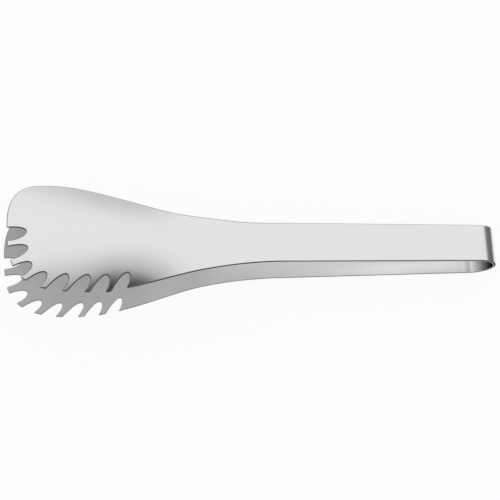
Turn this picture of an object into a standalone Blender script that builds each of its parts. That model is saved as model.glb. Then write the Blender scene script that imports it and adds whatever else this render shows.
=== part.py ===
# Serving tongs bent from one strip of stainless sheet: a bow with a straight
# arm on each side, each arm ending in a shallow spoon head with a toothed rim.
# Metres, +Z up. The tongs lie on the table on their lower arm, the bow towards
# +X, the heads towards -X and the teeth towards -Y. The origin is under the
# middle of their box, on the table.
#
# An arm is drawn flat first, in two measures: s runs from the bow's far end
# towards the head's front, and y runs across. arm_height then lifts that
# drawing off the plane that the two arms mirror each other in.

import math

import bpy
import numpy as np
from mathutils import Vector
from mathutils.geometry import delaunay_2d_cdt

for old_object in list(bpy.data.objects):
    bpy.data.objects.remove(old_object, do_unlink=True)

# Driving dimensions of the strip
LENGTH = 0.2500                  # bow's far end to the head's front edge
SHEET_THICKNESS = 0.0015
BOW_RADIUS = 0.0106              # to the middle of the sheet
BOW_WIDTH = 0.0190
HANDLE_WIDTH = 0.0201            # where the handle meets the neck
SPLAY_ANGLE = math.radians(2.23)  # of each arm from the mirror plane, at rest
HEAD_LENGTH = 0.1120             # from the head's front to its cut from the handle
SEAM_GAP = 0.0003                # between neighbouring pieces of the strip

# Driving dimensions of the head's hollow, measured back from its front edge
BELLY_LIFT = 0.0106              # how far the middle swells out past the arm's line
BELLY_START = 0.1114
BELLY_TOP = 0.0416
NOSE_DROP = 0.0051               # how far the front edge dips back in
NOSE_START = 0.0307
CROWN_START = 0.1145             # where the flat handle begins to round across
CROWN_FULL = 0.0542
CROWN_EASE = 0.0250              # length over which the neck's crown becomes the head's
NECK_CROWN_RADIUS = 0.0440
HEAD_CROWN_RADIUS = 0.0585

# Driving dimensions of the head's outline, measured back from its front edge
FLARE_START = 0.1400             # where the outline leaves the handle's taper
NOSE_Y = 0.0055                  # the front edge's foremost point, off the centre line
TOOTHED_HALF_WIDTH = 0.02665
TOOTHED_WIDEST = 0.0430
TOOTHED_CORNER_POWER = 3.4       # 2 gives an elliptical front corner, more a squarer one
PLAIN_HALF_WIDTH = 0.0271
PLAIN_WIDEST = 0.0155
PLAIN_CORNER_POWER = 2.4
# Stations between the flare's start and the widest place, as the distance from
# the front and the share of the flare that the edge has made there
TOOTHED_FLARE = ((0.119, 0.062), (0.107, 0.150), (0.094, 0.290), (0.082, 0.475),
                 (0.069, 0.690), (0.057, 0.865))
PLAIN_FLARE = ((0.120, 0.010), (0.100, 0.130), (0.080, 0.250), (0.060, 0.510),
               (0.045, 0.750), (0.030, 0.930))

# The notches between the teeth, from the front edge round to the heel: where
# each starts along the rim, its mouth, its reach and the way it runs in, in
# degrees from the arm's line towards the plain side. The depth is about half
# the reach.
NOTCHES = (
    (0.0000, 0.0071, 0.0162, 182),
    (0.0097, 0.0067, 0.0162, 173),
    (0.0193, 0.0069, 0.0145, 160),
    (0.0287, 0.0074, 0.0151, 147),
    (0.0392, 0.0079, 0.0175, 136),
    (0.0494, 0.0086, 0.0180, 132),
    (0.0604, 0.0081, 0.0167, 124),
    (0.0713, 0.0076, 0.0160, 121),
)
BACK_REACH = 0.48                # of a notch's heel side, next to its front side's

# Fineness of the solids
BOW_STEPS = 24
HANDLE_STEPS = 16
NOTCH_STEPS = 12
OUTLINE_STEP = 0.0010
SHEET_STEP = 0.0040

# Colour and finish of the satin steel
STEEL_COLOUR = (0.66, 0.66, 0.65, 1.0)
STEEL_ROUGHNESS = 0.30

HALF_SHEET = SHEET_THICKNESS / 2
HEAD_CUT = LENGTH - HEAD_LENGTH
TAPER_END = LENGTH - FLARE_START
HANDLE_HALF = HANDLE_WIDTH / 2
# The straight arm touches the bow's circle here
SEAM_S = BOW_RADIUS * (1 - math.sin(SPLAY_ANGLE))
SEAM_Z = BOW_RADIUS * math.cos(SPLAY_ANGLE)


def ease(share):
    """Run from 0 to 1 with no slope and no bend at either end."""
    share = np.clip(share, 0, 1)
    return share ** 3 * (10 - 15 * share + 6 * share ** 2)


def arm_height(s, y):
    """Height of the sheet's middle above the mirror plane."""
    straight = SEAM_Z + math.tan(SPLAY_ANGLE) * (s - SEAM_S)
    front = LENGTH - s
    belly = BELLY_LIFT * ease((BELLY_START - front) / (BELLY_START - BELLY_TOP))
    nose = NOSE_DROP * np.clip((NOSE_START - front) / NOSE_START, 0, None) ** 2
    neck = ease((CROWN_START - front) / (CROWN_START - CROWN_FULL)) / NECK_CROWN_RADIUS
    change = 1 / HEAD_CROWN_RADIUS - 1 / NECK_CROWN_RADIUS
    head = change * ease((CROWN_FULL - front) / CROWN_EASE)
    return straight + belly - nose - (neck + head) * y ** 2 / 2


def taper_half(s):
    """Half the width of the handle, before its outline flares."""
    share = (s - SEAM_S) / (TAPER_END - SEAM_S)
    return BOW_WIDTH / 2 + (HANDLE_HALF - BOW_WIDTH / 2) * np.clip(share, 0, 1)


def edge_half(s, flare, widest, half_width):
    """Half width along one edge: a smooth curve through the flare's stations."""
    front = [FLARE_START] + [station[0] for station in flare] + [widest]
    share = [0.0] + [station[1] for station in flare] + [1.0]
    at = LENGTH - np.array(front)
    slope = np.gradient(share, at)
    slope[0] = 0.0
    slope[-1] = 0.0
    span = np.clip(np.searchsorted(at, s) - 1, 0, len(at) - 2)
    length = at[span + 1] - at[span]
    t = np.clip((s - at[span]) / length, 0, 1)
    low = np.take(share, span)
    high = np.take(share, span + 1)
    curve = (low * (1 + 2 * t) * (1 - t) ** 2 + high * t ** 2 * (3 - 2 * t)
             + length * t * (1 - t) * (slope[span] * (1 - t) - slope[span + 1] * t))
    return taper_half(s) + (half_width - HANDLE_HALF) * curve


def toothed_half(s):
    """Half width on the toothed side."""
    return edge_half(s, TOOTHED_FLARE, TOOTHED_WIDEST, TOOTHED_HALF_WIDTH)


def plain_half(s):
    """Half width on the plain side."""
    return edge_half(s, PLAIN_FLARE, PLAIN_WIDEST, PLAIN_HALF_WIDTH)


def edge_run(start, side, half, widest, half_width, power):
    """Points of one edge from s = start to the front edge's foremost point.

    The front corner is a quarter of a superellipse from the widest place.
    """
    corner_s = LENGTH - widest
    s = np.linspace(start, corner_s, 1 + math.ceil((corner_s - start) / OUTLINE_STEP))
    edge = np.column_stack([s, side * half(s)])
    turn = np.linspace(0, math.pi / 2, 64)[1:]
    across = side * half_width - NOSE_Y
    corner = np.column_stack([corner_s + widest * np.sin(turn) ** (2 / power),
                              NOSE_Y + across * np.cos(turn).clip(0) ** (2 / power)])
    return np.vstack([edge, corner])


def along(points, distances):
    """Points at the given distances along a run of points."""
    steps = np.linalg.norm(np.diff(points, axis=0), axis=1)
    reach = np.concatenate([[0], np.cumsum(steps)])
    return np.column_stack([np.interp(distances, reach, points[:, k]) for k in range(2)])


def run_length(points):
    """Length of a run of points."""
    return np.linalg.norm(np.diff(points, axis=0), axis=1).sum()


def notch_curve(rim, start, mouth, reach, way):
    """One notch from its front corner to its heel corner, as a cubic curve.

    Both handles of the curve point the same way in, the front one further.
    """
    front, heel = along(rim, [start, start + mouth])
    way_in = reach * np.array([math.cos(math.radians(way)), math.sin(math.radians(way))])
    t = np.linspace(0, 1, NOTCH_STEPS + 1)[:, None]
    return ((1 - t) ** 3 * front + 3 * t * (1 - t) ** 2 * (front + way_in)
            + 3 * t ** 2 * (1 - t) * (heel + BACK_REACH * way_in) + t ** 3 * heel)


def head_outline():
    """The head's closed outline, flat, once round from the front edge."""
    start = HEAD_CUT + SEAM_GAP / 2
    rim = edge_run(start, -1, toothed_half, TOOTHED_WIDEST, TOOTHED_HALF_WIDTH,
                   TOOTHED_CORNER_POWER)[::-1]
    toothed = np.vstack([notch_curve(rim, *notch) for notch in NOTCHES])
    heel = NOTCHES[-1][0] + NOTCHES[-1][1]
    steps = math.ceil((run_length(rim) - heel) / OUTLINE_STEP / 4)
    neck = along(rim, np.linspace(heel, run_length(rim), steps + 1)[1:])
    plain = edge_run(start, 1, plain_half, PLAIN_WIDEST, PLAIN_HALF_WIDTH, PLAIN_CORNER_POWER)
    steps = math.ceil(run_length(plain) / OUTLINE_STEP / 3)
    plain = along(plain, np.linspace(0, run_length(plain), steps + 1)[:-1])
    return np.vstack([toothed, neck, plain])


def inside(points, outline, margin):
    """Tell which points lie within the outline, at least a margin from it."""
    a = outline
    b = np.roll(outline, -1, axis=0)
    across = b - a
    from_a = points[:, None] - a
    share = np.clip((from_a * across).sum(2) / (across ** 2).sum(1), 0, 1)
    apart = np.linalg.norm(from_a - share[:, :, None] * across, axis=2).min(axis=1)
    crosses = (a[:, 1] > points[:, None, 1]) != (b[:, 1] > points[:, None, 1])
    level = np.where(crosses, across[:, 1], 1)
    meet = a[:, 0] + across[:, 0] * (points[:, None, 1] - a[:, 1]) / level
    return (np.sum(crosses & (points[:, None, 0] < meet), axis=1) % 2 == 1) & (apart > margin)


def filled_outline(outline):
    """Fill a flat outline with triangles about SHEET_STEP across."""
    s = np.arange(outline[:, 0].min(), outline[:, 0].max(), SHEET_STEP)
    y = np.arange(outline[:, 1].min(), outline[:, 1].max(), SHEET_STEP)
    grid = np.stack(np.meshgrid(s, y), axis=-1).reshape(-1, 2)
    grid = grid[inside(grid, outline, SHEET_STEP / 2)]
    count = len(outline)
    rim = [(i, (i + 1) % count) for i in range(count)]
    # The filling works in millimetres, where its tolerance is small enough
    flat = [Vector(point * 1000) for point in np.vstack([outline, grid])]
    points, _, faces, *_ = delaunay_2d_cdt(flat, rim, [], 1, 1e-4)
    return np.array([tuple(point) for point in points]) / 1000, [tuple(face) for face in faces]


def strip(places, half_widths):
    """A band of quads across the points (x, z), with the given half widths."""
    x, z = places.T
    left = np.column_stack([x, half_widths, z])
    right = np.column_stack([x, -half_widths, z])
    points = np.stack([left, right], axis=1).reshape(-1, 3)
    faces = [(2 * i, 2 * i + 1, 2 * i + 3, 2 * i + 2) for i in range(len(places) - 1)]
    return points, faces


def bow_sheet():
    """The middle of the bow's sheet, round from one seam to the other."""
    half_turn = math.pi / 2 - SPLAY_ANGLE - SEAM_GAP / 2 / BOW_RADIUS
    turn = np.linspace(-half_turn, half_turn, BOW_STEPS + 1)
    places = BOW_RADIUS * np.column_stack([np.cos(turn) - 1, np.sin(turn)])
    return strip(places, np.full(len(turn), BOW_WIDTH / 2))


def handle_sheet():
    """The middle of a handle's sheet, from the bow's seam to the head's cut."""
    s = np.linspace(SEAM_S + SEAM_GAP / 2, HEAD_CUT - SEAM_GAP / 2, HANDLE_STEPS + 1)
    z = arm_height(s, np.zeros_like(s))
    points, faces = strip(np.column_stack([-s, z]), np.ones_like(s))
    points[0::2, 1] = plain_half(s)
    points[1::2, 1] = -toothed_half(s)
    return points, faces


def head_sheet():
    """The middle of a head's sheet: its filled outline, lifted to arm_height."""
    flat, faces = filled_outline(head_outline())
    s, y = flat.T
    return np.column_stack([-s, y, arm_height(s, y)]), faces


def steel(name):
    """A satin steel material of its own for one piece."""
    material = bpy.data.materials.new(name)
    material.use_nodes = True
    shader = material.node_tree.nodes["Principled BSDF"]
    shader.inputs["Base Color"].default_value = STEEL_COLOUR
    shader.inputs["Metallic"].default_value = 1.0
    shader.inputs["Roughness"].default_value = STEEL_ROUGHNESS
    return material


def add_empty(name, location, parent=None):
    """An empty that only places what hangs on it."""
    empty = bpy.data.objects.new(name, None)
    empty.location = location
    empty.parent = parent
    bpy.context.scene.collection.objects.link(empty)
    return empty


def add_piece(name, sheet, parent, mirror=1):
    """One piece of the strip: its middle sheet, thickened evenly both ways."""
    points, faces = sheet
    points = points * (1, 1, mirror)
    if parent.parent:
        points = points - np.array(parent.location)
    mesh = bpy.data.meshes.new(name)
    mesh.from_pydata(points.tolist(), [], faces)
    mesh.materials.append(steel(name + "_steel"))
    mesh.shade_smooth()
    mesh.set_sharp_from_angle(angle=math.radians(40))
    piece = bpy.data.objects.new(name, mesh)
    piece.parent = parent
    bpy.context.scene.collection.objects.link(piece)
    wall = piece.modifiers.new("sheet", "SOLIDIFY")
    wall.thickness = SHEET_THICKNESS
    wall.offset = 0
    wall.use_even_offset = True
    wall.use_quality_normals = True
    return piece


def resting_tilt():
    """Angle that lays the bow and the lower head's belly on the table."""
    s = np.linspace(HEAD_CUT, LENGTH, 400)
    low = arm_height(s, np.zeros_like(s)) + HALF_SHEET
    from_centre = s - BOW_RADIUS
    reach = np.hypot(from_centre, low)
    angles = np.arctan2(low, from_centre) - np.arcsin((BOW_RADIUS + HALF_SHEET) / reach)
    return float(angles.max())


def lay_on_table(tongs, pieces):
    """Tilt the tongs on to their lower arm and centre their box on the origin."""
    tongs.rotation_euler.y = resting_tilt()
    bpy.context.view_layer.update()
    graph = bpy.context.evaluated_depsgraph_get()
    corners = []
    for piece in pieces:
        solid = piece.evaluated_get(graph)
        corners += [solid.matrix_world @ vertex.co for vertex in solid.data.vertices]
    corners = np.array(corners)
    middle = (corners.min(axis=0) + corners.max(axis=0)) / 2
    tongs.location = (-middle[0], -middle[1], -corners[:, 2].min())


tongs = add_empty("tongs", (0, 0, 0))
upper_pivot = add_empty("upper_pivot", (-SEAM_S, 0, SEAM_Z), tongs)
lower_pivot = add_empty("lower_pivot", (-SEAM_S, 0, -SEAM_Z), tongs)
pieces = [
    add_piece("spring_bow", bow_sheet(), tongs),
    add_piece("upper_handle", handle_sheet(), upper_pivot),
    add_piece("upper_head", head_sheet(), upper_pivot),
    add_piece("lower_handle", handle_sheet(), lower_pivot, -1),
    add_piece("lower_head", head_sheet(), lower_pivot, -1),
]
lay_on_table(tongs, pieces)
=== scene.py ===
import math

import bpy
import numpy as np
from mathutils import Matrix, Vector
from mathutils.geometry import delaunay_2d_cdt


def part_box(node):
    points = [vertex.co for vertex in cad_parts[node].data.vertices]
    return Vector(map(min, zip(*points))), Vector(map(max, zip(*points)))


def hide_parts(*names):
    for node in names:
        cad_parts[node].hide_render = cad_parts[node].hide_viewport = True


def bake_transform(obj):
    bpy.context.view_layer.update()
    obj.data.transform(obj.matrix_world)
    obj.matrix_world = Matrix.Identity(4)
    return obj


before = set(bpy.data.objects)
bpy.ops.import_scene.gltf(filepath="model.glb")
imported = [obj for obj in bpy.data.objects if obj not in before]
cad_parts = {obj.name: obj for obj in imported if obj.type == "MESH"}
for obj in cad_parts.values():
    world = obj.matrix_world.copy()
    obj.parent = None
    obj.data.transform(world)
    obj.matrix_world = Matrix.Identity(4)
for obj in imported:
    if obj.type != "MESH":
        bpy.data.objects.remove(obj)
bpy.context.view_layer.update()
print("frame loaded")

# The strip in its own frame, in metres: s runs from the bow's far end to the
# head's front, y across, and the two arms mirror each other in z = 0.
strip = {
    "length": 0.2500,
    "thickness": 0.00146,     # with the half widths, 0.04 mm under the CAD to stay in its box
    "bowRadius": 0.0106,
    "bowWidth": 0.0190,
    "handleWidth": 0.0201,
    "splay": math.radians(2.23),
    "bellyLift": 0.0106,
    "bellyStart": 0.1114,     # starts, top and full crown are measured back from the head's front
    "bellyTop": 0.0416,
    "noseDrop": 0.0051,
    "noseStart": 0.0307,
    "crownStart": 0.1145,
    "crownFull": 0.0542,
    "crownEase": 0.0250,      # the run over which the neck's crown turns into the head's
    "neckCrown": 0.0440,      # radii across the strip
    "headCrown": 0.0585,
    "slopeStep": 2e-5,        # over which a slope of the sheet is measured
}
seamS = strip["bowRadius"] * (1 - math.sin(strip["splay"]))
seamZ = strip["bowRadius"] * math.cos(strip["splay"])
bowRun = strip["bowRadius"] * (math.pi / 2 - strip["splay"])  # along the sheet, apex to straight arm


# A ramp from 0 to 1 with no slope and no bend at its ends: 10 t^3 - 15 t^4 + 6 t^5.
def easeRamp(share):
    share = np.clip(share, 0, 1)
    return share ** 3 * (10 - 15 * share + 6 * share ** 2)


# Height of the sheet's middle: the straight splayed arm, plus the belly's ramp,
# less the nose's square, less the crown's parabola y^2 / (2 * radius).
def armHeight(s, y):
    front = strip["length"] - s
    straight = seamZ + math.tan(strip["splay"]) * (s - seamS)
    belly = strip["bellyLift"] * easeRamp((strip["bellyStart"] - front)
                                          / (strip["bellyStart"] - strip["bellyTop"]))
    nose = strip["noseDrop"] * np.clip((strip["noseStart"] - front) / strip["noseStart"], 0, None) ** 2
    neck = easeRamp((strip["crownStart"] - front)
                    / (strip["crownStart"] - strip["crownFull"])) / strip["neckCrown"]
    head = ((1 / strip["headCrown"] - 1 / strip["neckCrown"])
            * easeRamp((strip["crownFull"] - front) / strip["crownEase"]))
    return straight + belly - nose - (neck + head) * y ** 2 / 2


# The belly touches the table somewhere past this s, and so many points are tried
resting = {"searchFrom": 0.14, "samples": 400}


# Angle that lays the bow and the lower head's belly on the table: the steepest
# line that touches both the bow's round and the belly from below.
def restingTilt():
    s = np.linspace(resting["searchFrom"], strip["length"], resting["samples"])
    middle = armHeight(s, np.zeros_like(s))
    low = middle + strip["thickness"] / 2 * np.hypot(1, np.gradient(middle, s))
    outer = strip["bowRadius"] + strip["thickness"] / 2
    fromCentre = s - strip["bowRadius"]
    turns = np.arctan2(low, fromCentre) - np.arcsin(outer / np.hypot(fromCentre, low))
    return float(turns.max())


# From the strip's own frame to the table's: a turn about Y, then a shift that
# sets the bow on the CAD bow.
def layOnTable():
    turn = Matrix.Rotation(restingTilt(), 4, "Y")
    low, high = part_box("spring_bow")
    outer = strip["bowRadius"] + strip["thickness"] / 2
    centre = turn @ Vector((-strip["bowRadius"], 0, 0))
    shift = Vector((high.x - outer - centre.x, (low.y + high.y) / 2, low.z + outer - centre.z))
    return Matrix.Translation(shift) @ turn


tableMatrix = layOnTable()
tableTurn = np.array(tableMatrix.to_3x3())
tableShift = np.array(tableMatrix.translation)

# The outline of a head, measured back from its front edge. Each side's flare
# has stations: distance from the front, and share of the flare made there.
outline = {
    "flareStart": 0.1400,
    "noseY": 0.0055,
    "cornerRound": 0.00035,   # rounding of the teeth's corners
    "fineFrom": 0.1200,       # where the points along the edge get close together
    "step": 0.00032,          # their spacing there
    "handleStep": 0.0020,
    "bowStep": 0.0004,
    "edgeSamples": 600,
    "cornerSamples": 400,
    "tipSamples": 12,
}
toothedSide = {
    "sign": -1,
    "halfWidth": 0.02664,
    "widest": 0.0430,
    "power": 3.4,             # 2 gives an elliptical front corner, more a squarer one
    "flare": ((0.119, 0.062), (0.107, 0.150), (0.094, 0.290),
              (0.082, 0.475), (0.069, 0.690), (0.057, 0.865)),
}
plainSide = {
    "sign": 1,
    "halfWidth": 0.02706,
    "widest": 0.0155,
    "power": 2.4,
    "flare": ((0.120, 0.010), (0.100, 0.130), (0.080, 0.250),
              (0.060, 0.510), (0.045, 0.750), (0.030, 0.930)),
}
# The notches of each head from the front round to the heel: start along the
# rim, mouth, reach, and the way in, in degrees from the arm's line towards the
# plain side. The two heads were cut a little differently.
teeth = {
    "upper": ((0.0003, 0.0068, 0.0160, 182), (0.0099, 0.0064, 0.0158, 173), (0.0198, 0.0063, 0.0138, 160),
              (0.0292, 0.0069, 0.0146, 147), (0.0396, 0.0075, 0.0170, 136), (0.0498, 0.0082, 0.0175, 132),
              (0.0607, 0.0077, 0.0163, 124), (0.0714, 0.0075, 0.0160, 121)),
    "lower": ((0.0003, 0.0058, 0.0160, 174), (0.0096, 0.0062, 0.0158, 166), (0.0194, 0.0064, 0.0146, 156),
              (0.0293, 0.0065, 0.0158, 144), (0.0398, 0.0070, 0.0176, 135), (0.0503, 0.0075, 0.0184, 131),
              (0.0612, 0.0070, 0.0174, 124), (0.0720, 0.0067, 0.0178, 121)),
    "backReach": 0.48,        # reach on the heel's side, as a share of the reach in front
    "samples": 80,
}


# Half width of one edge: the handle's even taper, plus a smooth cubic curve
# through the flare's stations.
def edgeHalf(s, side):
    flareS = strip["length"] - outline["flareStart"]
    taper = (strip["bowWidth"] + (strip["handleWidth"] - strip["bowWidth"])
             * np.clip((s - seamS) / (flareS - seamS), 0, 1)) / 2
    stations = ((outline["flareStart"], 0.0),) + side["flare"] + ((side["widest"], 1.0),)
    at = strip["length"] - np.array([front for front, made in stations])
    share = np.array([made for front, made in stations])
    slope = np.gradient(share, at)
    slope[[0, -1]] = 0
    span = np.clip(np.searchsorted(at, s) - 1, 0, len(at) - 2)
    width = at[span + 1] - at[span]
    t = np.clip((s - at[span]) / width, 0, 1)
    curve = (share[span] * (1 + 2 * t) * (1 - t) ** 2 + share[span + 1] * t ** 2 * (3 - 2 * t)
             + width * t * (1 - t) * (slope[span] * (1 - t) - slope[span + 1] * t))
    return taper + (side["halfWidth"] - strip["handleWidth"] / 2) * curve


# One edge from s = start to the front: the half width, then a quarter of a
# superellipse round the front corner.
def edgeRun(start, side):
    cornerS = strip["length"] - side["widest"]
    s = np.linspace(start, cornerS, outline["edgeSamples"])
    edge = np.column_stack([s, side["sign"] * edgeHalf(s, side)])
    turn = np.linspace(0, math.pi / 2, outline["cornerSamples"])[1:]
    across = side["sign"] * side["halfWidth"] - outline["noseY"]
    corner = np.column_stack([cornerS + side["widest"] * np.sin(turn) ** (2 / side["power"]),
                              outline["noseY"] + across * np.cos(turn).clip(0) ** (2 / side["power"])])
    return np.vstack([edge, corner])


# Distance of each point of a run from its first, along the run.
def reachAlong(points):
    return np.concatenate([[0], np.cumsum(np.linalg.norm(np.diff(points, axis=0), axis=1))])


# Points at the given distances along a run of points.
def pointsAlong(points, distances):
    reach = reachAlong(points)
    return np.column_stack([np.interp(distances, reach, points[:, k]) for k in range(points.shape[1])])


# Points evenly spaced along a run, both ends kept.
def evenRun(points, step):
    length = reachAlong(points)[-1]
    return pointsAlong(points, np.linspace(0, length, max(2, 1 + round(length / step))))


# A notch is a cubic curve whose two handles point the same way in, the front
# one further: it leans and rounds like the real ones.
def notchRun(edge, notch):
    start, mouth, reach, way = notch
    front, heel = pointsAlong(edge, [start, start + mouth])
    wayIn = reach * np.array([math.cos(math.radians(way)), math.sin(math.radians(way))])
    t = np.linspace(0, 1, teeth["samples"])[:, None]
    return ((1 - t) ** 3 * front + 3 * t * (1 - t) ** 2 * (front + wayIn)
            + 3 * t ** 2 * (1 - t) * (heel + teeth["backReach"] * wayIn) + t ** 3 * heel)


# The toothed side from the heel back to the bow and, before it, the notches
# with a straight tooth tip between each two.
def toothedRun(notches):
    edge = edgeRun(seamS, toothedSide)[::-1]
    share = np.linspace(0, 1, outline["tipSamples"])[1:-1, None]
    around = [notchRun(edge, notches[0])]
    for before, notch in zip(notches, notches[1:]):
        tip = pointsAlong(edge, [before[0] + before[1], notch[0]])
        around += [tip[0] + (tip[1] - tip[0]) * share, notchRun(edge, notch)]
    heel = notches[-1][0] + notches[-1][1]
    return np.vstack(around + [pointsAlong(edge, [heel]), edge[reachAlong(edge) > heel]])


# Round off the corners of a run: a weighted mean of each point's neighbours
# along the run, with a bell-shaped weight, its two ends held.
def roundCorners(points, step, reach):
    count = int(3 * reach / step) + 1  # the bell is as good as flat at three times its reach
    weight = np.exp(-0.5 * (np.arange(-count, count + 1) * step / reach) ** 2)
    weight /= weight.sum()
    before = 2 * points[0] - points[count:0:-1]
    after = 2 * points[-1] - points[-2:-count - 2:-1]
    padded = np.vstack([before, points, after])
    return np.column_stack([np.convolve(padded[:, k], weight, "valid") for k in range(2)])


# The strip's edge from the bow's apex along the toothed side, round the head
# and back along the plain side, in (p, y), where p is s with the bow unrolled.
def stripEdge(notches):
    whole = np.vstack([toothedRun(notches)[::-1], edgeRun(seamS, plainSide)[::-1]])
    half = outline["step"] / 2
    fine = roundCorners(evenRun(whole, half), half, outline["cornerRound"])
    inHead = np.flatnonzero(fine[:, 0] > strip["length"] - outline["fineFrom"])
    first, last = inHead[0], inHead[-1]
    run = np.vstack([evenRun(fine[:first + 1], outline["handleStep"])[:-1],
                     fine[first:last:2],
                     evenRun(fine[last:], outline["handleStep"])])
    run[:, 0] += bowRun - seamS
    bow = np.linspace(0, bowRun, 1 + round(bowRun / outline["bowStep"]))[:-1]
    side = np.full_like(bow, strip["bowWidth"] / 2)
    return np.vstack([np.column_stack([bow, -side]), run, np.column_stack([bow, side])[::-1]])


# The cut edge, all round the strip.
rim = {
    "outerLip": 0.00044,      # radius of the arris on the outer face of the head
    "handleLip": 0.65,        # share of it in the handle
    "innerLip": 0.00012,
    "lipSteps": 4,
    "fill": 0.8,              # largest share of the room inside the outline that an arris takes
    "lowestOver": 3,          # neighbours on each side that share the tightest fit
    "meanOver": 2,            # neighbours on each side that even it out
    "squareUntil": 0.1000,    # the edge is square to the sheet up to this s
    "uprightFrom": 0.1300,    # and upright from this one
    "steepest": 0.5,          # least share of a normal that points up
    "nudge": 1e-5,            # over which the way out of the strip is measured
}


# How much of the cut edge's way is straight up at p: none of it in the handle,
# where the edge is square to the sheet, and all of it in the head, which was
# trimmed after it was formed.
def uprightShare(p):
    s = p - bowRun + seamS
    return easeRamp((s - rim["squareUntil"]) / (rim["uprightFrom"] - rim["squareUntil"]))[:, None]


# Place of the sheet's middle at (p, y), its outward normal, and the way from
# there to its faces: round the bow the place is R (cos - 1, sin) at the angle
# p / R, and past it (-s, y, height).
def sheetPoint(plan):
    p, y = plan.T
    radius = strip["bowRadius"]
    angle = np.minimum(p, bowRun) / radius
    s = seamS + np.maximum(p - bowRun, 0)
    onArm = p > bowRun
    step = strip["slopeStep"]
    slopeS = (armHeight(s + step, y) - armHeight(s - step, y)) / (2 * step)
    slopeY = (armHeight(s, y + step) - armHeight(s, y - step)) / (2 * step)
    place = np.column_stack([np.where(onArm, -s, radius * (np.cos(angle) - 1)), y,
                             np.where(onArm, armHeight(s, y), radius * np.sin(angle))])
    normal = np.column_stack([np.where(onArm, slopeS, np.cos(angle)), np.where(onArm, -slopeY, 0),
                              np.where(onArm, 1, np.sin(angle))])
    normal /= np.linalg.norm(normal, axis=1)[:, None]
    upright = uprightShare(p)
    way = normal * (1 - upright) + upright * (0, 0, 1) / normal[:, 2:].clip(rim["steepest"])
    return place, normal, way


# Unit vectors across an open run of plan points, pointing out of the strip.
def outwardOf(run):
    along = np.gradient(run, axis=0)
    along /= np.linalg.norm(along, axis=1)[:, None]
    return np.column_stack([along[:, 1], -along[:, 0]])


# Each value joined with its neighbours, reach of them on either side.
def withNeighbours(values, reach):
    padded = np.pad(values, reach, mode="edge")
    return np.stack([padded[k:k + len(values)] for k in range(2 * reach + 1)])


# Share of the arris's radius that fits at each point of the outline, evened out
# over the neighbours. The largest circle that touches the outline at a point
# from inside has a radius of distance^2 / (2 * depth), least over all others.
def lipShare(edge, outward):
    apart = edge[:, None] - edge[None]
    depth = (apart * outward[:, None]).sum(2)
    tiny = 1e-9
    fits = (apart ** 2).sum(2) / (2 * np.maximum(depth, tiny))
    fits[depth < tiny] = np.inf
    share = np.clip(rim["fill"] * fits.min(axis=1) / rim["outerLip"], 0, 1)
    lowest = withNeighbours(share, rim["lowestOver"]).min(axis=0)
    return withNeighbours(lowest, rim["meanOver"]).mean(axis=0)


# The cut edge's profile from the outer face's arris to the inner one's: how far
# in from the outline it is, the face that it is measured from, its drop from
# there, and its course, as a part that points outward and one that points down.
def edgeProfile():
    half = strip["thickness"] / 2
    turn = np.linspace(0, math.pi / 2, rim["lipSteps"] + 1)
    inward = np.concatenate([rim["outerLip"] * (1 - np.sin(turn)), rim["innerLip"] * (1 - np.cos(turn))])
    drop = np.concatenate([rim["outerLip"] * (1 - np.cos(turn)), -rim["innerLip"] * (1 - np.sin(turn))])
    level = np.repeat([half, -half], len(turn))
    ahead = np.concatenate([np.cos(turn), -np.sin(turn)])
    down = np.concatenate([np.sin(turn), np.cos(turn)])
    return [part[1:, None] for part in (inward, level, drop, ahead, down)]


# The rows of points down the cut edge and their normals: the profile carried
# along the outline, and at each point the cross product of row and course.
def cutEdgeRows(edge, outward, share):
    inward, level, drop, ahead, down = edgeProfile()
    shape = (len(down), len(edge), 3)
    plan = (edge[None] - (inward * share)[:, :, None] * outward[None]).reshape(-1, 2)
    place, _, way = sheetPoint(plan)
    sideways = sheetPoint(plan + rim["nudge"] * np.tile(outward, (len(down), 1)))[0] - place
    sideways /= np.linalg.norm(sideways, axis=1)[:, None]
    rows = (place + (level - drop * share).reshape(-1, 1) * way).reshape(shape)
    course = ahead[:, :, None] * sideways.reshape(shape) - down[:, :, None] * way.reshape(shape)
    normals = np.cross(np.gradient(rows, axis=1), course)
    normals /= np.linalg.norm(normals, axis=2)[:, :, None]
    return rows, normals


# Inner points of the sheet, in metres: a few in rows across the bow and the
# handle, and a finer staggered grid over the head.
grid = {
    "firstRow": 0.001,        # past the bow
    "lastRow": 0.118,         # s at which the rows end
    "rowStep": 0.0040,
    "rowPoints": 5,
    "rowShare": 0.72,         # of the half width that a row reaches
    "step": 0.0010,
    "rowsApart": 0.866,       # share of the step, so that the triangles are nearly even
    "halfWidth": 0.028,
    "margin": 0.45,           # least distance from the outline, as a share of the step
    "chunk": 400,             # points that are tested at a time
    "scale": 1000,            # the filling works in millimetres
    "merge": 1e-5,            # and merges points closer than this
    "apex": 1e-6,             # points with a smaller p lie on the bow's apex
}


# Which plan points lie inside the closed outline and at least margin from it:
# an even count of crossings to the right is outside.
def insideOutline(points, closed, margin):
    keep = np.zeros(len(points), bool)
    a = closed
    b = np.roll(closed, -1, axis=0)
    run = b - a
    for part in np.array_split(np.arange(len(points)), 1 + len(points) // grid["chunk"]):
        q = points[part][:, None]
        share = np.clip(((q - a) * run).sum(2) / (run ** 2).sum(1), 0, 1)
        apart = np.linalg.norm(q - a - share[:, :, None] * run, axis=2).min(axis=1)
        crosses = (a[:, 1] > q[:, :, 1]) != (b[:, 1] > q[:, :, 1])
        level = np.where(crosses, run[:, 1], 1)
        meet = a[:, 0] + run[:, 0] * (q[:, :, 1] - a[:, 1]) / level
        keep[part] = (np.sum(crosses & (q[:, :, 0] < meet), axis=1) % 2 == 1) & (apart > margin)
    return keep


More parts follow.
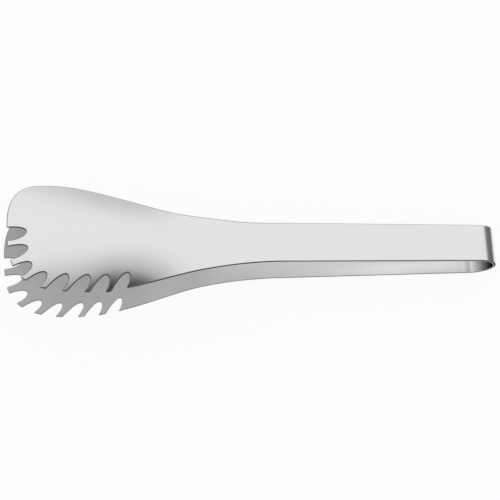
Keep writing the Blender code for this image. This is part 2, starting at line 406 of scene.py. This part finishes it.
# The inner points that lie in the closed outline, clear of its edge: the rows
# first, then the grid, each second row of it half a step aside.
def innerPoints(closed):
    bowP = np.arange(outline["bowStep"], bowRun, outline["bowStep"])
    armP = np.arange(bowRun + grid["firstRow"], bowRun + grid["lastRow"] - seamS, grid["rowStep"])
    across = np.linspace(-grid["rowShare"], grid["rowShare"], grid["rowPoints"]) * strip["bowWidth"] / 2
    rows = np.stack(np.meshgrid(np.concatenate([bowP, armP]), across, indexing="ij"), -1)
    step = grid["step"]
    p = np.arange(armP[-1] + step, bowRun - seamS + strip["length"], step * grid["rowsApart"])
    y = np.arange(-grid["halfWidth"], grid["halfWidth"], step)
    fine = np.stack(np.meshgrid(p, y, indexing="ij"), -1)
    fine[1::2, :, 1] += step / 2
    points = np.vstack([rows.reshape(-1, 2), fine.reshape(-1, 2)])
    return points[insideOutline(points, closed, step * grid["margin"])]


# The plan filled with triangles between its ring and the inner points. The
# ring's points come back first and in order.
def filledPlan(ring):
    points = np.vstack([ring, innerPoints(ring)]) * grid["scale"]
    loop = [(i, (i + 1) % len(ring)) for i in range(len(ring))]
    flat, _, faces, *_ = delaunay_2d_cdt([Vector(q) for q in points], loop, [], 1, grid["merge"])
    return np.array([tuple(q) for q in flat]) / grid["scale"], np.array([tuple(f) for f in faces])


# Polygons of the skin: the outer face, the inner face turned over, the quads
# down the cut edge, and a flat cap at the bow's apex.
def skinPolygons(flat, faces, sides, count):
    total = len(flat)
    ring = np.arange(count)[None]
    rows = np.vstack([ring, 2 * total + np.arange(sides * count).reshape(sides, count), total + ring])
    quads = np.stack([rows[:-1, :-1], rows[1:, :-1], rows[1:, 1:], rows[:-1, 1:]], -1).reshape(-1, 4)
    atApex = np.flatnonzero(flat[:, 0] < grid["apex"])
    atApex = atApex[np.argsort(flat[atApex, 1])]
    cap = np.concatenate([atApex, rows[1:-1, -1], total + atApex[::-1], rows[1:-1, 0][::-1]])
    return faces.tolist() + (faces[:, ::-1] + total).tolist() + quads.tolist() + [cap.tolist()]


# Satin stainless steel with a fine grain along the strip. The inner face's tone
# holds painted shade and light: nearly black round the bow's apex as painted
# shade, brighter than the outer face in the handle as painted light against the
# shade between the arms, and darker in the head as painted shade between the
# arms, where the face also goes matt. The cut edge's outer side is painted
# nearly black for the dark reflections and shade along the edges, on a rough
# shear, and is paler where the metal tore, towards the inner face.
steel = {
    "tone": 0.92,
    "roughness": 0.22,
    # The inner tones are painted shade round the bow's apex and in the head and painted light in the
    # handle; the roughnesses are the finish
    "innerAt": (0.004, 0.008, 0.011, 0.015, 0.060, 0.150, 0.188, 0.225, 0.256),   # from the bow's apex
    "inner": {"tone": (0.04, 0.18, 0.50, 0.97, 0.97, 0.90, 0.66, 0.71, 0.84),
              "roughness": (0.45, 0.35, 0.22, 0.12, 0.10, 0.27, 0.50, 0.55, 0.55)},
    # The cut edge's near-black tone is painted dark reflection and shade along the edges; its roughness
    # is the rough shear
    "cut": {"tone": 0.05, "roughness": 0.60},
    "paintedDarkSpread": 1.6,         # how soon round the arris the painted dark of the cut edge is full
    "torn": {"tone": 0.60, "roughness": 0.45},
    "tornFrom": 0.95,         # least part of the edge's course that points down
    "brushing": 0.40,         # how much wider the shine spreads across the grain than along it
    "grainLength": 0.012,
    "grainWidth": 0.00010,
    "grainHeight": 0.0000012,
    "grainDetail": 3.0,
    "grainSpan": (0.3, 0.7),  # values of the noise between which the roughness varies
    "toneVaries": 0.015,
    "roughnessVaries": 0.02,
    "bumpStrength": 0.5,
    "dullBelow": 0.3,         # tones darker than this, the painted dark of the edge and of the bow's inside, lose their shine at a low angle
}


# Tone and roughness at each point: the outer face's, then as far as a point is
# inside, cut or torn, those of the inner face at p, the cut and the torn edge.
# The tones of the inner face and of the cut hold painted shade and light.
def finishAndPaintedShadeOf(p, inside, cut, torn):
    finish = {}
    for key in ("tone", "roughness"):
        value = steel[key] + inside * (np.interp(p, steel["innerAt"], steel["inner"][key]) - steel[key])
        value += cut * (steel["cut"][key] - value)
        value += torn * (steel["torn"][key] - value)
        finish[key] = value
    return finish


# One half of the strip as a closed skin: both faces are the filled outline
# lifted to the sheet's two sides, and the cut edge is a rounded profile carried
# along the outline. The half ends in a flat cap at the bow's apex.
def stripHalf(name, mirror, notches):
    halfSheet = strip["thickness"] / 2
    edge = stripEdge(notches)
    upright = uprightShare(edge[:, 0])
    # The outline is that of the outer face, which leans out past the middle's
    overhang = halfSheet * upright * sheetPoint(edge)[1]
    edge = edge + np.column_stack([-overhang[:, 0], overhang[:, 1]])
    outward = outwardOf(edge)
    outward[0] = (0, -1)
    outward[-1] = (0, 1)
    inHead = uprightShare(edge[:, 0])[:, 0]
    share = lipShare(edge, outward) * (rim["handleLip"] + (1 - rim["handleLip"]) * inHead)
    flat, faces = filledPlan(edge - (rim["outerLip"] * share)[:, None] * outward)
    place, normal, way = sheetPoint(flat)
    rows, rowNormals = cutEdgeRows(edge, outward, share)
    points = np.vstack([place + halfSheet * way, place - halfSheet * way, rows.reshape(-1, 3)])
    normals = np.vstack([normal, -normal, rowNormals.reshape(-1, 3)])
    points = (points * (1, 1, mirror)) @ tableTurn.T + tableShift
    normals = (normals * (1, 1, mirror)) @ tableTurn.T
    uv = np.vstack([flat, flat, np.tile(edge, (len(rows), 1))])

    # In the order of the points: outer face, inner face, then the rows of the cut edge
    _, level, _, _, down = edgeProfile()
    total = len(flat)
    count = len(edge)
    # How far each row of the cut edge carries the painted dark
    paintedDarkRows = np.clip(steel["paintedDarkSpread"] * down, 0, 1)
    tornRows = (level < 0) & (down > steel["tornFrom"])
    inside = np.concatenate([np.zeros(total), np.ones(total), np.repeat((level < 0)[:, 0], count)])
    cut = np.concatenate([np.zeros(2 * total), np.repeat(paintedDarkRows[:, 0], count)])
    torn = np.concatenate([np.zeros(2 * total), np.repeat(tornRows[:, 0], count)])
    polygons = skinPolygons(flat, faces, len(rows), count)
    if mirror > 0:  # p runs towards -x, so the plan seen from outside is a mirror image
        polygons = [polygon[::-1] for polygon in polygons]
    return skinObject(name, points, polygons, normals, uv, finishAndPaintedShadeOf(uv[:, 0], inside, cut, torn))


# A mesh object with smooth shading from the surface's own normals, the strip's
# plan as its UV map, and the tone, with its painted shade, and the roughness of
# each point as attributes.
def skinObject(name, points, polygons, normals, uv, finish):
    mesh = bpy.data.meshes.new(name)
    mesh.from_pydata(points.tolist(), [], polygons)
    loops = np.zeros(len(mesh.loops), np.int32)
    mesh.loops.foreach_get("vertex_index", loops)
    layer = mesh.uv_layers.new(name="strip")
    layer.data.foreach_set("uv", uv[loops].ravel().astype(np.float32))
    for key, values in finish.items():
        attribute = mesh.attributes.new(key, "FLOAT", "POINT")
        attribute.data.foreach_set("value", values.astype(np.float32))
    mesh.shade_smooth()
    cornerNormals = normals[loops]
    cap = mesh.polygons[len(mesh.polygons) - 1]
    cornerNormals[cap.loop_start:cap.loop_start + cap.loop_total] = tuple(cap.normal)
    mesh.normals_split_custom_set(cornerNormals.tolist())
    skin = bpy.data.objects.new(name, mesh)
    bpy.context.scene.collection.objects.link(skin)
    return skin


# Noise drawn out along the strip varies the tone and the roughness a little and
# raises the grain. Tones from 0 to dullBelow get that share of the shine, so the
# painted dark of the cut edge and of the bow's inside stays dark at a low angle.
def satinSteel():
    material = bpy.data.materials.new("satinSteel")
    material.use_nodes = True
    nodes = material.node_tree.nodes
    links = material.node_tree.links
    shader = nodes["Principled BSDF"]
    shader.inputs["Metallic"].default_value = 1.0
    shader.inputs["Anisotropic"].default_value = steel["brushing"]
    shader.inputs["Anisotropic Rotation"].default_value = 0.25  # a quarter turn, across the tangent
    lengthwise = nodes.new("ShaderNodeTangent")
    lengthwise.direction_type = "UV_MAP"
    lengthwise.uv_map = "strip"
    links.new(lengthwise.outputs["Tangent"], shader.inputs["Tangent"])

    plan = nodes.new("ShaderNodeUVMap")
    plan.uv_map = "strip"
    stretch = nodes.new("ShaderNodeMapping")
    stretch.inputs["Scale"].default_value = (1 / steel["grainLength"], 1 / steel["grainWidth"], 1)
    links.new(plan.outputs["UV"], stretch.inputs["Vector"])
    grain = nodes.new("ShaderNodeTexNoise")
    grain.noise_dimensions = "2D"
    grain.inputs["Scale"].default_value = 1.0
    grain.inputs["Detail"].default_value = steel["grainDetail"]
    links.new(stretch.outputs["Vector"], grain.inputs["Vector"])

    tone = nodes.new("ShaderNodeAttribute")
    tone.attribute_name = "tone"
    shade = nodes.new("ShaderNodeMapRange")
    shade.inputs["To Min"].default_value = 1 - steel["toneVaries"]
    shade.inputs["To Max"].default_value = 1 + steel["toneVaries"]
    links.new(grain.outputs["Fac"], shade.inputs["Value"])
    tint = nodes.new("ShaderNodeVectorMath")
    tint.operation = "SCALE"
    links.new(tone.outputs["Vector"], tint.inputs[0])
    links.new(shade.outputs["Result"], tint.inputs["Scale"])
    links.new(tint.outputs["Vector"], shader.inputs["Base Color"])
    # Specular tint from the tone: the painted dark tones keep no shine at a low angle
    grazing = nodes.new("ShaderNodeMapRange")
    grazing.inputs["From Max"].default_value = steel["dullBelow"]
    links.new(tone.outputs["Fac"], grazing.inputs["Value"])
    links.new(grazing.outputs["Result"], shader.inputs["Specular Tint"])

    finish = nodes.new("ShaderNodeAttribute")
    finish.attribute_name = "roughness"
    uneven = nodes.new("ShaderNodeMapRange")
    uneven.inputs["From Min"].default_value = steel["grainSpan"][0]
    uneven.inputs["From Max"].default_value = steel["grainSpan"][1]
    uneven.inputs["To Min"].default_value = -steel["roughnessVaries"]
    uneven.inputs["To Max"].default_value = steel["roughnessVaries"]
    links.new(grain.outputs["Fac"], uneven.inputs["Value"])
    rough = nodes.new("ShaderNodeMath")
    links.new(finish.outputs["Fac"], rough.inputs[0])
    links.new(uneven.outputs["Result"], rough.inputs[1])
    links.new(rough.outputs["Value"], shader.inputs["Roughness"])
    bump = nodes.new("ShaderNodeBump")
    bump.inputs["Strength"].default_value = steel["bumpStrength"]
    bump.inputs["Distance"].default_value = steel["grainHeight"]
    links.new(grain.outputs["Fac"], bump.inputs["Height"])
    links.new(bump.outputs["Normal"], shader.inputs["Normal"])
    return material


satin = satinSteel()


for name, mirror, arm, notches in (("upper_half", 1, "upper_arm", teeth["upper"]),
                                   ("lower_half", -1, "lower_arm", teeth["lower"])):
    half = stripHalf(name, mirror, notches)
    half.data.materials.append(satin)
    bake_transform(half)
    if mirror > 0:
        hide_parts("upper_handle", "upper_head", "spring_bow")
    else:
        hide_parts("lower_handle", "lower_head", "spring_bow")
    print(name, "made,", len(half.data.polygons), "faces")

# The table: white to the eye, with the tongs' soft shadow on it.
table = {
    "size": 3.0,
    "below": 0.0002,          # of the tongs' lowest point
    "colour": 0.78,
    "glow": 0.92,
    "inMetal": 0.25,          # share of the glow that the metal mirrors
}


# Paper mixed with a glow, whose share is glow for the eye, and glow * inMetal
# where the metal mirrors it.
def layTable():
    half = table["size"] / 2
    corners = [(x, y, -table["below"])
               for x, y in ((-half, -half), (half, -half), (half, half), (-half, half))]
    mesh = bpy.data.meshes.new("table")
    mesh.from_pydata(corners, [], [(0, 1, 2, 3)])
    floor = bpy.data.objects.new("table", mesh)
    bpy.context.scene.collection.objects.link(floor)
    material = bpy.data.materials.new("whiteTable")
    material.use_nodes = True
    nodes = material.node_tree.nodes
    links = material.node_tree.links
    nodes.remove(nodes["Principled BSDF"])
    paper = nodes.new("ShaderNodeBsdfDiffuse")
    paper.inputs["Color"].default_value = (table["colour"],) * 3 + (1,)
    glow = nodes.new("ShaderNodeEmission")
    path = nodes.new("ShaderNodeLightPath")
    seen = nodes.new("ShaderNodeMath")
    seen.operation = "MAXIMUM"
    links.new(path.outputs["Is Camera Ray"], seen.inputs[0])
    links.new(path.outputs["Is Transmission Ray"], seen.inputs[1])
    inMetal = nodes.new("ShaderNodeMath")
    inMetal.operation = "MULTIPLY_ADD"
    links.new(path.outputs["Is Glossy Ray"], inMetal.inputs[0])
    inMetal.inputs[1].default_value = table["inMetal"]
    links.new(seen.outputs["Value"], inMetal.inputs[2])
    share = nodes.new("ShaderNodeMath")
    share.operation = "MULTIPLY"
    links.new(inMetal.outputs["Value"], share.inputs[0])
    share.inputs[1].default_value = table["glow"]
    mix = nodes.new("ShaderNodeMixShader")
    links.new(share.outputs["Value"], mix.inputs[0])
    links.new(paper.outputs["BSDF"], mix.inputs[1])
    links.new(glow.outputs["Emission"], mix.inputs[2])
    links.new(mix.outputs["Shader"], nodes["Material Output"].inputs["Surface"])
    mesh.materials.append(material)


layTable()
print("table laid")


# Only the metal sees these: they neither show nor light the table nor shade it.
def onlyInMetal(thing):
    thing.visible_camera = False
    thing.visible_diffuse = False
    thing.visible_shadow = False


# The light tent that the metal mirrors, with grey cards hung in it. A card is a
# way to look along, where on it the light starts to fall and is down, the
# heights between which the card's lower edge fades in, and how much light is
# left behind it.
tent = {
    "radius": 4.0,
    "segments": 48,
    "rings": 24,
    "level": 0.84,
    "cards": (((0.20, -1.0, 0.0), (0.46, 0.65), (0.20, 0.38), 0.01),     # in front, half way up
              ((0.20, -1.0, 0.0), (0.00, 0.50), (0.20, 0.38), 0.62),     # round it, wider and paler
              ((0.35, 1.0, 0.0), (0.70, 1.08), (-2.0, -1.5), 0.66),      # low at the back right
              ((0.88, 0.47, 0.0), (0.90, 0.95), (-2.0, -1.5), 0.10)),    # low at the right
}


# The tent's light is its level, times 1 - (1 - left) * across * above for each card.
def raiseTent():
    bpy.ops.mesh.primitive_uv_sphere_add(segments=tent["segments"], ring_count=tent["rings"],
                                         radius=tent["radius"])
    dome = bpy.context.active_object
    dome.name = "lightTent"
    onlyInMetal(dome)
    material = bpy.data.materials.new("tentCloth")
    material.use_nodes = True
    nodes = material.node_tree.nodes
    links = material.node_tree.links
    nodes.remove(nodes["Principled BSDF"])
    where = nodes.new("ShaderNodeTexCoord")
    unit = nodes.new("ShaderNodeVectorMath")
    unit.operation = "NORMALIZE"
    links.new(where.outputs["Object"], unit.inputs[0])
    height = nodes.new("ShaderNodeSeparateXYZ")
    links.new(unit.outputs["Vector"], height.inputs["Vector"])
    light = None
    for way, across, above, left in tent["cards"]:
        along = nodes.new("ShaderNodeVectorMath")
        along.operation = "DOT_PRODUCT"
        links.new(unit.outputs["Vector"], along.inputs[0])
        along.inputs[1].default_value = way
        card = nodes.new("ShaderNodeMath")
        card.operation = "MULTIPLY"
        for index, (value, (start, end)) in enumerate(((along.outputs["Value"], across),
                                                       (height.outputs["Z"], above))):
            edge = nodes.new("ShaderNodeMapRange")
            edge.interpolation_type = "SMOOTHSTEP"
            edge.inputs["From Min"].default_value = start
            edge.inputs["From Max"].default_value = end
            links.new(value, edge.inputs["Value"])
            links.new(edge.outputs["Result"], card.inputs[index])
        dim = nodes.new("ShaderNodeMapRange")
        dim.inputs["To Min"].default_value = 1.0
        dim.inputs["To Max"].default_value = left
        links.new(card.outputs["Value"], dim.inputs["Value"])
        product = nodes.new("ShaderNodeMath")
        product.operation = "MULTIPLY"
        links.new(dim.outputs["Result"], product.inputs[0])
        product.inputs[1].default_value = tent["level"]
        if light is not None:
            links.new(light, product.inputs[1])
        light = product.outputs["Value"]
    glow = nodes.new("ShaderNodeEmission")
    links.new(light, glow.inputs["Strength"])
    links.new(glow.outputs["Emission"], nodes["Material Output"].inputs["Surface"])
    material.cycles.emission_sampling = "NONE"
    dome.data.materials.append(material)


raiseTent()

# A black cloth beside the bow, out of the picture: it lies on the table and
# rises away from the tongs. The profile is (x, z), and the sides are in y.
blackCloth = {
    "profile": ((0.152, 0.0003), (0.26, 0.006), (0.40, 0.045), (0.60, 0.12)),
    "sides": (-0.60, 0.80),
    "colour": 0.12,
    "roughness": 0.9,
}


# The cloth's profile, swept from one side to the other.
def layCloth():
    points = [(x, y, z) for x, z in blackCloth["profile"] for y in blackCloth["sides"]]
    count = len(blackCloth["profile"])
    faces = [(2 * k, 2 * k + 2, 2 * k + 3, 2 * k + 1) for k in range(count - 1)]
    mesh = bpy.data.meshes.new("blackCloth")
    mesh.from_pydata(points, [], faces)
    sheet = bpy.data.objects.new("blackCloth", mesh)
    bpy.context.scene.collection.objects.link(sheet)
    onlyInMetal(sheet)
    material = bpy.data.materials.new("blackCloth")
    material.use_nodes = True
    shader = material.node_tree.nodes["Principled BSDF"]
    shader.inputs["Base Color"].default_value = (blackCloth["colour"],) * 3 + (1,)
    shader.inputs["Roughness"].default_value = blackCloth["roughness"]
    mesh.materials.append(material)


layCloth()
print("tent and cloth hung")

# Even white light from all round
world = bpy.data.worlds.new("studio")
bpy.context.scene.world = world
world.use_nodes = True
world.node_tree.nodes["Background"].inputs["Color"].default_value = (1, 1, 1, 1)
world.node_tree.nodes["Background"].inputs["Strength"].default_value = 1.0

# The camera looks down on the tongs from the toothed side.
view = {
    "place": (-0.07180, -0.26639, 0.89271),
    "turn": (17.226, -3.614, -3.317),   # degrees
    "lens": 129.6,
    "sensor": 36.0,
}
camera = bpy.data.objects.new("camera", bpy.data.cameras.new("camera"))
camera.location = view["place"]
camera.rotation_euler = [math.radians(a) for a in view["turn"]]
camera.data.lens = view["lens"]
camera.data.sensor_width = view["sensor"]
bpy.context.scene.collection.objects.link(camera)
bpy.context.scene.camera = camera
bpy.context.scene.view_settings.view_transform = "Standard"
print("studio set")
